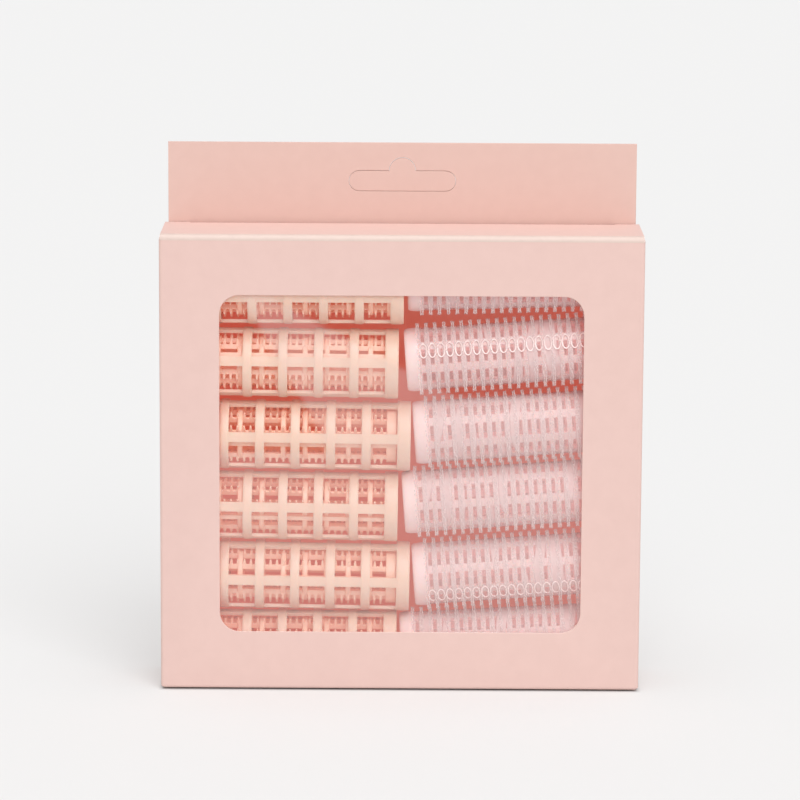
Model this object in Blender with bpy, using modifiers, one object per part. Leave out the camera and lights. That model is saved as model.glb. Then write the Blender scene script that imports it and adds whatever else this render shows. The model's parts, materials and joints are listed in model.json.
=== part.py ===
"""A window carton holding twelve hair rollers in one layer.

Left column: six two-layer rollers, an open cage around a core with comb ribs.
Right column: six self-grip rollers, a plastic tube under a sleeve of hook tape.
Metres, +Z up. Origin on the ground under the middle of the carton; the front
of the carton faces -Y and its width runs along X.
"""

import math

import bmesh
import bpy
from mathutils import Matrix, Vector

MM = 0.001
GAP = 0.3 * MM

# Carton
WIDTH = 135.0 * MM
DEPTH = 27.3 * MM
HEIGHT = 129.4 * MM
CARD = 0.5 * MM
WINDOW_WIDTH = 101.6 * MM
WINDOW_LOW = 16.5 * MM
WINDOW_HIGH = 112.5 * MM
WINDOW_RADIUS = 5.6 * MM
FILM = 0.2 * MM
FILM_MARGIN = 6.0 * MM

# Hanging tab with its die-cut slot
TAB_WIDTH = 132.5 * MM
TAB_TOP = 152.2 * MM
TAB_THICK = 2 * CARD
SLOT_WIDTH = 30.4 * MM
SLOT_LOW = 138.4 * MM
SLOT_HIGH = 144.3 * MM
SLOT_BUMP = 3.8 * MM
ARC_STEPS = 6

# Lid, its tuck flap and the two dust flaps
SHOULDER = 7.0 * MM
SHOULDER_STEP = 0.7 * MM
TUCK_HEIGHT = 10.0 * MM
TUCK_CHAMFER = 4.0 * MM
DUST_REACH = 18.0 * MM
DUST_TAPER = 10.0 * MM
DUST_BACK = 10.0 * MM

# Rows of rollers, counted from the top. Heights are of the axis: at the middle of a
# two-layer roller, which tilts down to the right, and at the left end of a self-grip
# roller, which tilts up to the right. Tilts and turns are in degrees.
ROWS = 6
ROLLER_DEPTH = 10.9 * MM
ROLLER_RADIUS = 9.85 * MM

# Cage of a two-layer roller
CAGE_END = 3.76 * MM
CAGE_RING = 2.6 * MM
CAGE_OPENING = 7.37 * MM
CAGE_OPENINGS = 6
CAGE_BARS = 5
CAGE_WALL = 1.1 * MM
CAGE_SEGMENTS = 20
CAGE_HEIGHT = [112.75 * MM, 91.82 * MM, 71.22 * MM, 50.87 * MM, 30.82 * MM, 10.7 * MM]
CAGE_TILT = [0.0, 0.5, 0.55, 0.68, 0.75, 0.3]
CAGE_RIGHT_END = [0.6 * MM, -0.8 * MM, 2.7 * MM, -0.8 * MM, 2.6 * MM, -1.0 * MM]
CAGE_TURN = [-6.5, 10.3, 4.4, 6.6, 0.2, 9.0]

# Core of a two-layer roller
CORE_LENGTH = 63.7 * MM
CORE_RIGHT_END = -1.2 * MM
CORE_RADIUS = 7.6 * MM
CORE_WALL = 1.2 * MM
CORE_END = 2.9 * MM
CORE_RING = 1.6 * MM
CORE_OPENINGS = 3
CORE_SEGMENTS = 24
CORE_RIBS = [45, 75, 105, 135, 225, 255, 285, 315]
CORE_TURN = [19.5, 15.8, -19.1, -25.0, -3.3, -3.5]

# Self-grip roller
GRIP_LENGTH = 62.5 * MM
GRIP_HEIGHT = [115.5 * MM, 92.6 * MM, 71.8 * MM, 51.7 * MM, 30.8 * MM, 10.8 * MM]
GRIP_TILT = [1.7, 4.3, 4.3, 4.3, 4.3, 3.2]
GRIP_LEFT_END = [1.5 * MM, 1.2 * MM, 3.7 * MM, 0.8 * MM, 3.7 * MM, 0.2 * MM]
GRIP_RIM = 4.6 * MM
GRIP_RIM_RADIUS = 9.0 * MM
GRIP_LIP_RADIUS = 8.3 * MM
GRIP_LIP = 1.0 * MM
GRIP_BODY_RADIUS = 8.5 * MM
GRIP_BORE_RADIUS = 7.4 * MM
GRIP_SEGMENTS = 20
SLEEVE_BORE_RADIUS = 8.8 * MM
SLEEVE_RADIUS = 9.7 * MM

FRONT = -DEPTH / 2
BACK = DEPTH / 2
AXIS_Y = FRONT + ROLLER_DEPTH
SMOOTH_ANGLE = math.radians(35)
ALONG_X = Matrix.Rotation(math.pi / 2, 4, "Y")


def clear_scene():
    """Remove everything that is already in the file."""
    for obj in list(bpy.data.objects):
        bpy.data.objects.remove(obj, do_unlink=True)


def new_collection(name):
    collection = bpy.data.collections.new(name)
    bpy.context.scene.collection.children.link(collection)
    return collection


def new_material(name, colour, roughness, alpha=1.0):
    material = bpy.data.materials.new(name)
    material.use_nodes = True
    shader = material.node_tree.nodes["Principled BSDF"]
    shader.inputs["Base Color"].default_value = (*colour, 1.0)
    shader.inputs["Roughness"].default_value = roughness
    shader.inputs["Metallic"].default_value = 0.0
    shader.inputs["Alpha"].default_value = alpha
    material.diffuse_color = (*colour, alpha)
    return material


def mesh_object(name, bm, material, collection, smooth=False):
    """Turn a bmesh into a named object."""
    mesh = bpy.data.meshes.new(name)
    bm.to_mesh(mesh)
    bm.free()
    if smooth:
        mesh.shade_smooth()
        mesh.set_sharp_from_angle(angle=SMOOTH_ANGLE)
    obj = bpy.data.objects.new(name, mesh)
    if material:
        mesh.materials.append(material)
    collection.objects.link(obj)
    return obj


def axis_empty(name, location, collection, tilt=0.0):
    """An empty on a joint's axis, which its moving pieces are parented to."""
    empty = bpy.data.objects.new(name, None)
    empty.empty_display_size = 5 * MM
    empty.location = location
    empty.rotation_euler = (0.0, -math.radians(tilt), 0.0)
    collection.objects.link(empty)
    return empty


def box(low, high):
    """A bmesh box between two corners."""
    low, high = Vector(low), Vector(high)
    size = high - low
    place = Matrix.Translation((low + high) / 2) @ Matrix.Diagonal((*size, 1.0))
    bm = bmesh.new()
    bmesh.ops.create_cube(bm, size=1.0, matrix=place)
    return bm


def solidify(obj, thickness):
    """Give an open surface a wall on its inner side."""
    shell = obj.modifiers.new("wall", "SOLIDIFY")
    shell.thickness = thickness
    shell.offset = -1.0
    shell.use_even_offset = True


def cut(obj, cutter):
    boolean = obj.modifiers.new("cut", "BOOLEAN")
    boolean.operation = "DIFFERENCE"
    boolean.object = cutter


def make_cutter(name, bm, cutters):
    cutter = mesh_object(name, bm, None, cutters)
    cutter.hide_render = True
    cutter.display_type = "WIRE"
    return cutter


def flat_sheet(name, outlines, thickness, material, collection):
    """A flat sheet from closed outlines in its own XY plane, even-odd filled."""
    curve = bpy.data.curves.new(name, "CURVE")
    curve.dimensions = "2D"
    curve.fill_mode = "BOTH"
    curve.extrude = thickness / 2
    for outline in outlines:
        spline = curve.splines.new("POLY")
        spline.points.add(len(outline) - 1)
        for point, (x, y) in zip(spline.points, outline):
            point.co = (x, y, 0.0, 1.0)
        spline.use_cyclic_u = True
    curve.materials.append(material)
    obj = bpy.data.objects.new(name, curve)
    collection.objects.link(obj)
    return obj


def arc(centre_x, centre_y, radius, start, end):
    """Points along an arc, from one angle in degrees to another."""
    points = []
    for step in range(ARC_STEPS + 1):
        angle = math.radians(start + (end - start) * step / ARC_STEPS)
        points.append((centre_x + radius * math.cos(angle), centre_y + radius * math.sin(angle)))
    return points


def carton_sleeve(card, parts, cutters):
    """The folded tube of card: front with its window, two sides and back."""
    top = HEIGHT - CARD - GAP
    bm = box((-WIDTH / 2, FRONT, 0.0), (WIDTH / 2, BACK, top))
    open_ends = [face for face in bm.faces if abs(face.normal.z) > 0.5]
    bmesh.ops.delete(bm, geom=open_ends, context="FACES")
    sleeve = mesh_object("carton_sleeve", bm, card, parts)
    solidify(sleeve, CARD)

    window = box((-WINDOW_WIDTH / 2, FRONT - 2 * CARD, WINDOW_LOW),
                 (WINDOW_WIDTH / 2, FRONT + 3 * CARD, WINDOW_HIGH))
    corners = [edge for edge in window.edges
               if abs((edge.verts[0].co - edge.verts[1].co).y) > CARD]
    bmesh.ops.bevel(window, geom=corners, offset=WINDOW_RADIUS, offset_type="OFFSET",
                    segments=ARC_STEPS, profile=0.5, affect="EDGES")
    cut(sleeve, make_cutter("window_cutter", window, cutters))

    side_top = top - CARD - GAP
    shortened = box((-WIDTH, FRONT + CARD + GAP, side_top), (WIDTH, BACK - CARD - GAP, HEIGHT))
    cut(sleeve, make_cutter("side_top_cutter", shortened, cutters))


def carton_base(card, parts):
    inset = CARD + GAP
    bm = box((-WIDTH / 2 + inset, FRONT + inset, 0.0), (WIDTH / 2 - inset, BACK - inset, CARD))
    mesh_object("carton_base", bm, card, parts)


def window_film(film, parts):
    inner = FRONT + CARD + GAP / 3
    half = WINDOW_WIDTH / 2 + FILM_MARGIN
    bm = box((-half, inner, WINDOW_LOW - FILM_MARGIN), (half, inner + FILM, WINDOW_HIGH + FILM_MARGIN))
    mesh_object("window_film", bm, film, parts)


def slot_outline(inset):
    """A rounded slot with a round bump over its middle."""
    radius = (SLOT_HIGH - SLOT_LOW) / 2 - inset
    middle = (SLOT_HIGH + SLOT_LOW) / 2
    end = SLOT_WIDTH / 2 - (SLOT_HIGH - SLOT_LOW) / 2
    right = arc(end, middle, radius, -90, 90)
    bump = arc(0.0, SLOT_HIGH - inset, SLOT_BUMP - inset, 0, 180)
    left = arc(-end, middle, radius, 90, 270)
    return right + bump + left


def hang_tab(card, parts):
    """Two layers of card folded over at the top, with the slot and its waste piece."""
    bottom = HEIGHT - CARD
    half = TAB_WIDTH / 2
    outline = [(-half, bottom), (half, bottom), (half, TAB_TOP), (-half, TAB_TOP)]
    tab = flat_sheet("hang_tab", [outline, slot_outline(0.0)], TAB_THICK, card, parts)
    waste = flat_sheet("slot_knockout", [slot_outline(GAP)], TAB_THICK, card, parts)
    for sheet in (tab, waste):
        sheet.rotation_euler = (math.pi / 2, 0.0, 0.0)
        sheet.location = (0.0, BACK - TAB_THICK / 2, 0.0)


def lid(card, parts):
    """The top panel, creased to the front, and the tuck flap at its rear edge."""
    hinge = axis_empty("lid_axis", (0.0, FRONT, HEIGHT), parts)
    half = WIDTH / 2 - GAP
    inner = half - SHOULDER
    rear = DEPTH - TAB_THICK - GAP
    fold = rear - SHOULDER_STEP
    outline = [(-half, 0.0), (half, 0.0), (half, rear), (inner, rear), (inner, fold),
               (-inner, fold), (-inner, rear), (-half, rear)]
    panel = flat_sheet("lid_panel", [outline], CARD, card, parts)
    panel.parent = hinge
    panel.location = (0.0, 0.0, -CARD / 2)

    crease = axis_empty("tuck_axis", (0.0, fold - CARD, -CARD), parts)
    crease.parent = hinge
    tuck_half = inner - 3 * GAP
    shoulder = tuck_half - TUCK_CHAMFER
    outline = [(-tuck_half, -GAP), (-tuck_half, -TUCK_HEIGHT + TUCK_CHAMFER)]
    outline += arc(-shoulder, -TUCK_HEIGHT + TUCK_CHAMFER, TUCK_CHAMFER, 180, 270)[1:]
    outline += arc(shoulder, -TUCK_HEIGHT + TUCK_CHAMFER, TUCK_CHAMFER, 270, 360)
    outline.append((tuck_half, -GAP))
    flap = flat_sheet("lid_tuck_flap", [outline], CARD, card, parts)
    flap.parent = crease
    flap.rotation_euler = (math.pi / 2, 0.0, 0.0)
    flap.location = (0.0, CARD / 2, 0.0)


def dust_flaps(card, parts):
    """Flaps from the tops of the two sides, tapered so that they clear the lid as it opens."""
    level = HEIGHT - CARD - GAP
    front = FRONT + CARD + 3 * GAP
    for side, name in ((-1, "dust_flap_left"), (1, "dust_flap_right")):
        hinge = axis_empty(name + "_axis", (side * WIDTH / 2, 0.0, level), parts)
        reach = -side * DUST_REACH
        outline = [(0.0, front), (reach, front + DUST_TAPER), (reach, DUST_BACK), (0.0, DUST_BACK)]
        if side > 0:
            outline.reverse()
        flap = flat_sheet(name, [outline], CARD, card, parts)
        flap.parent = hinge
        flap.location = (0.0, 0.0, -CARD / 2)


def ring_edges(length, end, ring, openings):
    """Positions along a lattice tube where its rings start and stop."""
    opening = (length - 2 * end - (openings - 1) * ring) / openings
    edges = []
    place = -length / 2 + end
    for _ in range(openings):
        edges.append((place, place + opening))
        place += opening + ring
    return edges


def lattice_tube(name, length, radius, wall, segments, openings, bars, material, parts):
    """A tube along local X whose wall is rings joined by lengthwise bars.

    openings holds the (start, stop) stretches between rings, and bars the angles in
    degrees, from -Y towards +Z, that keep a bar one segment wide in those stretches.
    """
    bm = bmesh.new()
    half_segment = Matrix.Rotation(math.pi / segments, 4, "X")
    bmesh.ops.create_cone(bm, cap_ends=False, segments=segments, radius1=radius,
                          radius2=radius, depth=length, matrix=half_segment @ ALONG_X)
    for start, stop in openings:
        for place in (start, stop):
            geometry = bm.verts[:] + bm.edges[:] + bm.faces[:]
            bmesh.ops.bisect_plane(bm, geom=geometry, plane_co=(place, 0, 0), plane_no=(1, 0, 0))
    step = 360 / segments
    gone = []
    for face in bm.faces:
        centre = face.calc_center_median()
        if not any(start < centre.x < stop for start, stop in openings):
            continue
        angle = math.degrees(math.atan2(centre.z, -centre.y))
        if all(abs((angle - bar + 180) % 360 - 180) > step / 4 for bar in bars):
            gone.append(face)
    bmesh.ops.delete(bm, geom=gone, context="FACES")
    tube = mesh_object(name, bm, material, parts, smooth=True)
    solidify(tube, wall)
    return tube


def two_layer_roller(row, plastic, parts):
    """An outer cage that slides along a core with comb ribs."""
    core_x = CORE_RIGHT_END - CORE_LENGTH / 2
    axis = axis_empty(f"roller_axis_{row + 1}", (core_x, AXIS_Y, CAGE_HEIGHT[row]), parts,
                      tilt=-CAGE_TILT[row])
    edges = ring_edges(CORE_LENGTH, CORE_END, CORE_RING, CORE_OPENINGS)
    core = lattice_tube(f"comb_core_{row + 1}", CORE_LENGTH, CORE_RADIUS, CORE_WALL, CORE_SEGMENTS,
                        edges, CORE_RIBS, plastic, parts)
    core.parent = axis
    core.rotation_euler = (-math.radians(CORE_TURN[row]), 0.0, 0.0)

    length = (2 * CAGE_END + CAGE_OPENINGS * CAGE_OPENING + (CAGE_OPENINGS - 1) * CAGE_RING)
    edges = ring_edges(length, CAGE_END, CAGE_RING, CAGE_OPENINGS)
    bars = [bar * 360 / CAGE_BARS for bar in range(CAGE_BARS)]
    cage = lattice_tube(f"cage_{row + 1}", length, ROLLER_RADIUS, CAGE_WALL, CAGE_SEGMENTS,
                        edges, bars, plastic, parts)
    cage.parent = axis
    cage.location = (CAGE_RIGHT_END[row] - length / 2 - core_x, 0.0, 0.0)
    cage.rotation_euler = (-math.radians(CAGE_TURN[row]), 0.0, 0.0)


def turned_ring(name, profile, material, parts):
    """A closed profile of (x, radius) points, turned about local X."""
    bm = bmesh.new()
    verts = [bm.verts.new((x, 0.0, radius)) for x, radius in profile]
    edges = [bm.edges.new((verts[i - 1], verts[i])) for i in range(len(verts))]
    bmesh.ops.spin(bm, geom=verts + edges, cent=(0, 0, 0), axis=(1, 0, 0), angle=2 * math.pi,
                   steps=GRIP_SEGMENTS, use_merge=True)
    bmesh.ops.recalc_face_normals(bm, faces=bm.faces[:])
    return mesh_object(name, bm, material, parts, smooth=True)


def self_grip_roller(row, plastic, tape, parts):
    """A tube with a raised rim at each end and a sleeve of hook tape between the rims."""
    tilt = math.radians(GRIP_TILT[row])
    half = GRIP_LENGTH / 2
    centre = (GRIP_LEFT_END[row] + half * math.cos(tilt), AXIS_Y,
              GRIP_HEIGHT[row] + half * math.sin(tilt))
    axis = axis_empty(f"grip_axis_{row + 1}", centre, parts, tilt=GRIP_TILT[row])
    seat = half - GRIP_RIM
    outer = [(-half, GRIP_LIP_RADIUS), (-half + GRIP_LIP, GRIP_RIM_RADIUS), (-seat, GRIP_RIM_RADIUS),
             (-seat, GRIP_BODY_RADIUS)]
    mirrored = [(-x, radius) for x, radius in reversed(outer)]
    bore = [(half, GRIP_BORE_RADIUS), (-half, GRIP_BORE_RADIUS)]
    core = turned_ring(f"grip_core_{row + 1}", outer + mirrored + bore, plastic, parts)
    core.parent = axis

    end = seat - GAP
    profile = [(-end, SLEEVE_RADIUS), (end, SLEEVE_RADIUS), (end, SLEEVE_BORE_RADIUS),
               (-end, SLEEVE_BORE_RADIUS)]
    sleeve = turned_ring(f"hook_sleeve_{row + 1}", profile, tape, parts)
    sleeve.parent = axis


def build():
    clear_scene()
    parts = new_collection("boxed_hair_roller_set")
    cutters = new_collection("cutters")
    card = new_material("card", (0.84, 0.60, 0.54), 0.65)
    film = new_material("film", (0.95, 0.93, 0.92), 0.1, alpha=0.2)
    peach = new_material("peach_plastic", (0.90, 0.61, 0.48), 0.4)
    pink = new_material("pink_plastic", (0.85, 0.62, 0.62), 0.4)
    tape = new_material("hook_tape", (0.88, 0.72, 0.72), 0.7)

    carton_sleeve(card, parts, cutters)
    carton_base(card, parts)
    window_film(film, parts)
    hang_tab(card, parts)
    lid(card, parts)
    dust_flaps(card, parts)
    for row in range(ROWS):
        two_layer_roller(row, peach, parts)
        self_grip_roller(row, pink, tape, parts)


build()
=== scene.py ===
"""The looks of the boxed hair roller set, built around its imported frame."""

import json
import math

import bmesh
import bpy
import numpy as np
from mathutils import Matrix, Vector


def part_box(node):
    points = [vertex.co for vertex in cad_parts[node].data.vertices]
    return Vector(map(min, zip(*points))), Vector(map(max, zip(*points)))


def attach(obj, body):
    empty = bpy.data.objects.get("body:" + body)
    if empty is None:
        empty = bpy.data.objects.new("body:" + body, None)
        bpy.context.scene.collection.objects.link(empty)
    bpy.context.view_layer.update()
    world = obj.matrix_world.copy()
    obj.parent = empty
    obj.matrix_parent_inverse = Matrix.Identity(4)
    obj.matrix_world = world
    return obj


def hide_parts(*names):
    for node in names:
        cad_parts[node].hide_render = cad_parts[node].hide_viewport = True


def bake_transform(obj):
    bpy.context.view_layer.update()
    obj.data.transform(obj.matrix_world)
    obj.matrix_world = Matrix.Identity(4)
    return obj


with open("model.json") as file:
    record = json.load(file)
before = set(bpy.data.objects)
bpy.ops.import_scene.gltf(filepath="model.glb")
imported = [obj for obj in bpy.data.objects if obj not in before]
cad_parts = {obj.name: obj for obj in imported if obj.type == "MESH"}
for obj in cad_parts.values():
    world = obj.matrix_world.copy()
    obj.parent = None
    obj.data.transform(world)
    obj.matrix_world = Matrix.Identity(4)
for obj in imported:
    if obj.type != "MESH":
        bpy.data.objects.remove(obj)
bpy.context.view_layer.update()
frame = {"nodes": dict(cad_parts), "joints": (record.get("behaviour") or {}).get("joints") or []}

# Lists with a value for each row start at the top row. Angles are in degrees.
MM = 0.001
ROWS = 6

# The frame's own sizes
SLEEVE_LOW, SLEEVE_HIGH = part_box("carton_sleeve")
_, LID_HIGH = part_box("lid_panel")
TUCK_LOW, TUCK_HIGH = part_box("lid_tuck_flap")
TAB_LOW, TAB_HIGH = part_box("hang_tab")
FILM_LOW, FILM_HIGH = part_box("window_film")
JOINTS = {joint["name"]: joint for joint in frame["joints"]}
WIDTH = SLEEVE_HIGH.x - SLEEVE_LOW.x
DEPTH = SLEEVE_HIGH.y - SLEEVE_LOW.y
FRONT, BACK = SLEEVE_LOW.y, SLEEVE_HIGH.y
HEIGHT = LID_HIGH.z

# Card. The sleeve ends where the lid's fold starts, at SLEEVE_TOP, and the fold lies
# PROUD of the front so that no two faces share a plane.
CARD = 0.5 * MM
CARD_ROUND = 0.06 * MM
DOUBLE_ROUND = 0.12 * MM
CORNER = 0.9 * MM
FOOT_ROUND = 0.9 * MM
LID_FOLD = 1.3 * MM
LID_FOLD_LAP = 0.3 * MM
LID_FOLD_REACH = 0.6 * MM
LID_NOTCH = 0.9 * MM
SLEEVE_TOP = HEIGHT - LID_FOLD
SMALL_FOLD = 0.5 * MM
TUCK_LAP = 0.5 * MM
TUCK_FOLD_LAP = 0.05 * MM
TUCK_RADIUS = 4.0 * MM
DUST_TAPER = 10.0 * MM
PROUD = 0.02 * MM

# Window and hanging slot
FILM_MARGIN = 6.0 * MM
FILM_GRID = 48
FILM_BUCKLE = 0.05 * MM
WINDOW_RADIUS = 5.6 * MM
SLOT_LOW = 138.4 * MM
SLOT_HIGH = 144.3 * MM
SLOT_WIDTH = 30.4 * MM
SLOT_BUMP = 3.8 * MM
SLOT_CUT = 0.09 * MM

# Cage of a two-layer roller. Its rings and end bands rise from the bars by a share of
# their height at each share of their width.
CAGE_END = 3.76 * MM
CAGE_RING = 2.6 * MM
CAGE_OPENINGS = 6
CAGE_BARS = 5
CAGE_WALL = 1.0 * MM
CAGE_BAR_RADIUS = 9.7 * MM
CAGE_BAR_HALF = 8.1
CAGE_RING_RADIUS = 9.90 * MM
CAGE_SEGMENTS = 110
CAGE_ROUND = 0.26 * MM
CAGE_SPOTS = (0.0, 0.06, 0.22, 0.5, 0.78, 0.94, 1.0)
CAGE_ROUND_RISE = (0.0, 0.55, 0.88, 1.0, 0.88, 0.55, 0.0)
CAGE_FLAT_RISE = (0.0, 0.7, 0.95, 1.0, 0.95, 0.7, 0.0)
CAGE_TURN = [-6.5, 10.3, 4.4, 6.6, 0.2, 9.0]

# Core of a two-layer roller
CORE_RINGS = 9
CORE_RING_PITCH = 6.1 * MM
CORE_RING_WIDTH = 1.5 * MM
CORE_END = 2.9 * MM
CORE_OUTER = 7.4 * MM
CORE_INNER = 6.3 * MM
CORE_END_RISE = 0.3 * MM
CORE_SEGMENTS = 64
CORE_RING_ROUND = 0.35 * MM
CORE_END_ROUND = 0.3 * MM
TOOTH_TIP_RADIUS = 8.1 * MM
TOOTH_LENGTH = 1.5 * MM
TOOTH_PITCH = 1.84 * MM
TOOTH_BASE = 0.84 * MM
TOOTH_TOP = 0.56 * MM
TOOTH_FILLET = (0.12 * MM, 0.15 * MM)
SLAT_HEIGHT = 1.4 * MM
SLAT_THICK = 0.95 * MM
SLAT_ROUND = 0.14 * MM
RIB_ANGLES = [45, 75, 105, 135]
PLAIN_RIB_ANGLE = 8.0
PLAIN_RIB_WIDTH = 1.2 * MM
PLAIN_RIB_HEIGHT = 0.9 * MM
PLAIN_RIB_RISE = 0.1 * MM
CORE_TURN = [19.5, 15.8, -19.1, -25.0, -3.3, -3.5]

# Self-grip roller
GRIP_RIM = 3.9 * MM
GRIP_RIM_RADIUS = 8.95 * MM
GRIP_LIP_RADIUS = 8.3 * MM
GRIP_BODY_RADIUS = 8.55 * MM
GRIP_WALL = 1.1 * MM
GRIP_SLOTS = 22
GRIP_SLOT_PITCH = 2.49 * MM
GRIP_SLOT_WIDTH = 1.05 * MM
GRIP_BARS = 8
GRIP_SEGMENTS = 72
GRIP_BAR_HALF = 1.1 * 360 / GRIP_SEGMENTS
GRIP_TURN = [168.0, -10.0, 164.0, 182.0, -25.5, 159.0]
SEAM_TURN = [200.0, 24.0, 185.0, 170.0, -32.0, 160.0]
SEAM_LOOP = (1.0 * MM, 2.0 * MM)
SEAM_PITCH = 2.49 * MM
SEAM_STRAND = 0.2 * MM
SEAM_LIFT = 0.25 * MM
SEAM_WAVE = 0.15 * MM

# Hook tape. Alphas run from thin to dense backing. Hooks stand in pairs: a hook leans by
# millimetres along and round the roller, its end curls by shares of that, and its end
# stands at a share of its height. STRAND_ASIDE is any direction that no strand follows.
TAPE_RADIUS = 8.78 * MM
TAPE_THICK = 0.12 * MM
TAPE_ROUND = 0.05 * MM
TAPE_GAP = 0.2 * MM
TAPE_ALPHAS = (0.20, 0.55)
TAPE_BAND_SOFT = 0.35 * MM
TAPE_PATCHES = (0.62, 0.68)
HOOK_TIP_RADIUS = 10.3 * MM
HOOK_STEPS = 60
HOOK_STRAND = 0.085 * MM
HOOK_LEAN = (0.22, 0.28)
HOOK_CURL = (-0.8, 0.6)
HOOK_END = 0.80
STRAND_ASIDE = (0.31, 0.77, 0.55)
HOOK_SPACING = 0.5 * MM
HOOK_STRAY = 0.1 * MM
HOOK_TURN_STRAY = 0.2
HOOK_SHORTEST = 0.85

# Painted light: emission colours that stand in for the light passed round inside the carton and the rollers,
# and a painted reflection on the film. The film's alphas are clear and under the painted reflection. Each
# edge of the painted reflection is two lines through (x, z) points in millimetres on the film.
PAINTED_INNER_BOUNCE = (0.20, 0.026, 0.012)
PAINTED_PEACH_BOUNCE = (0.14, 0.030, 0.013)
PAINTED_PINK_BOUNCE = (0.13, 0.026, 0.022)
PAINTED_BOUNCE_RADII = (7.6 * MM, 9.3 * MM)
FILM_ALPHAS = (0.03, 0.16)
PAINTED_REFLECTION_SOFT = 1.2 * MM
PAINTED_REFLECTION_LEFT = [((-44.5, 112.2), (-37.8, 100.6)), ((-20.0, 68.0), (-70.0, 68.0))]
PAINTED_REFLECTION_RIGHT = [((-37.8, 112.2), (-14.0, 99.5)), ((-70.0, 84.0), (70.0, 84.0))]

# Camera
CAMERA_PLACE = (-0.34 * MM, -1100.35 * MM, 282.4 * MM)
CAMERA_PITCH = 10.39
CAMERA_ROLL = 0.32
CAMERA_LENS = 178.1
CAMERA_REACH = 50.0

# Studio. The world's strengths are for lighting and for the camera. A sun has its name,
# elevation, azimuth, strength and spread in degrees.
PALE = (1.0, 0.995, 0.99, 1.0)
FLOOR_HALF = 8.0
FLOOR_DROP = 0.45 * MM
FLOOR_LIFT = 0.21
WORLD_STRENGTHS = (0.54, 0.89)
SUNS = [("key", 42, 14, 1.42, 45), ("top", 80, 0, 1.0, 50)]


# ---------------------------------------------------------------- materials

def set_inputs(node, values):
    """Set a node's inputs by name."""
    for name, value in values.items():
        node.inputs[name].default_value = value


def shader_nodes(name):
    """A new node material with its tree and Principled BSDF."""
    material = bpy.data.materials.new(name)
    material.use_nodes = True
    tree = material.node_tree
    return material, tree, tree.nodes["Principled BSDF"]


def object_axes(tree):
    """The X, Y and Z outputs of a place in object space."""
    place = tree.nodes.new("ShaderNodeTexCoord")
    split = tree.nodes.new("ShaderNodeSeparateXYZ")
    tree.links.new(place.outputs["Object"], split.inputs["Vector"])
    return split.outputs


def noise(tree, scale, detail=3.0, stretch=(1, 1, 1)):
    """A noise texture in object space, in waves per metre."""
    place = tree.nodes.new("ShaderNodeTexCoord")
    mapping = tree.nodes.new("ShaderNodeMapping")
    mapping.inputs["Scale"].default_value = stretch
    texture = tree.nodes.new("ShaderNodeTexNoise")
    set_inputs(texture, {"Scale": scale, "Detail": detail, "Roughness": 0.5})
    tree.links.new(place.outputs["Object"], mapping.inputs["Vector"])
    tree.links.new(mapping.outputs["Vector"], texture.inputs["Vector"])
    return texture.outputs["Fac"]


def map_range(tree, value, start=(0.0, 1.0), end=(0.0, 1.0), kind="LINEAR"):
    """A value carried over from one range to another, clamped at its ends."""
    span = tree.nodes.new("ShaderNodeMapRange")
    span.interpolation_type = kind
    set_inputs(span, {"From Min": start[0], "From Max": start[1], "To Min": end[0], "To Max": end[1]})
    tree.links.new(value, span.inputs["Value"])
    return span.outputs["Result"]


def combined(tree, operation, *factors):
    """Minimum or maximum of several factors."""
    result = factors[0]
    for factor in factors[1:]:
        node = tree.nodes.new("ShaderNodeMath")
        node.operation = operation
        tree.links.new(result, node.inputs[0])
        tree.links.new(factor, node.inputs[1])
        result = node.outputs["Value"]
    return result


def vary_colour(tree, shader, factor, dark, light):
    """Base colour between two tones by a factor."""
    ramp = tree.nodes.new("ShaderNodeValToRGB")
    ramp.color_ramp.elements[0].position = 0.3
    ramp.color_ramp.elements[1].position = 0.7
    ramp.color_ramp.elements[0].color = (*dark, 1.0)
    ramp.color_ramp.elements[1].color = (*light, 1.0)
    tree.links.new(factor, ramp.inputs["Fac"])
    tree.links.new(ramp.outputs["Color"], shader.inputs["Base Color"])


def add_bump(tree, shader, factor, strength, distance):
    """Surface relief from a factor."""
    bump = tree.nodes.new("ShaderNodeBump")
    set_inputs(bump, {"Strength": strength, "Distance": distance})
    tree.links.new(factor, bump.inputs["Height"])
    tree.links.new(bump.outputs["Normal"], shader.inputs["Normal"])


def card_material(name, dark, light):
    """Matt coated card: a faint mottle of print and a fine paper grain."""
    material, tree, shader = shader_nodes(name)
    vary_colour(tree, shader, noise(tree, 260.0), dark, light)
    set_inputs(shader, {"Roughness": 0.55, "Specular IOR Level": 0.35})
    add_bump(tree, shader, noise(tree, 4500.0, detail=4.0), 0.12, 0.05 * MM)
    return material


def fold_highlight_material():
    """Card where it bends over the lid's front fold, painted paler and whiter as a highlight."""
    material, tree, shader = shader_nodes("card_fold_painted_highlight")
    vary_colour(tree, shader, noise(tree, 400.0), (0.715, 0.56, 0.50), (0.74, 0.585, 0.52))
    set_inputs(shader, {"Roughness": 0.45})
    return material


def card_inside_material():
    """The carton's inner face, painted a deep warm coral with a faint emission: painted light standing in
    for the light that the pink card and plastic pass round.
    """
    material, tree, shader = shader_nodes("card_inside")
    vary_colour(tree, shader, noise(tree, 260.0), (0.80, 0.42, 0.34), (0.84, 0.46, 0.37))
    set_inputs(shader, {"Roughness": 0.7, "Emission Color": (*PAINTED_INNER_BOUNCE, 1.0), "Emission Strength": 1.0})
    return material


def card_edge_material():
    """The pale inside layer that shows where card is cut."""
    material, tree, shader = shader_nodes("card_cut_edge")
    vary_colour(tree, shader, noise(tree, 3000.0), (0.86, 0.70, 0.64), (0.93, 0.80, 0.75))
    set_inputs(shader, {"Roughness": 0.8})
    return material


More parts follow.
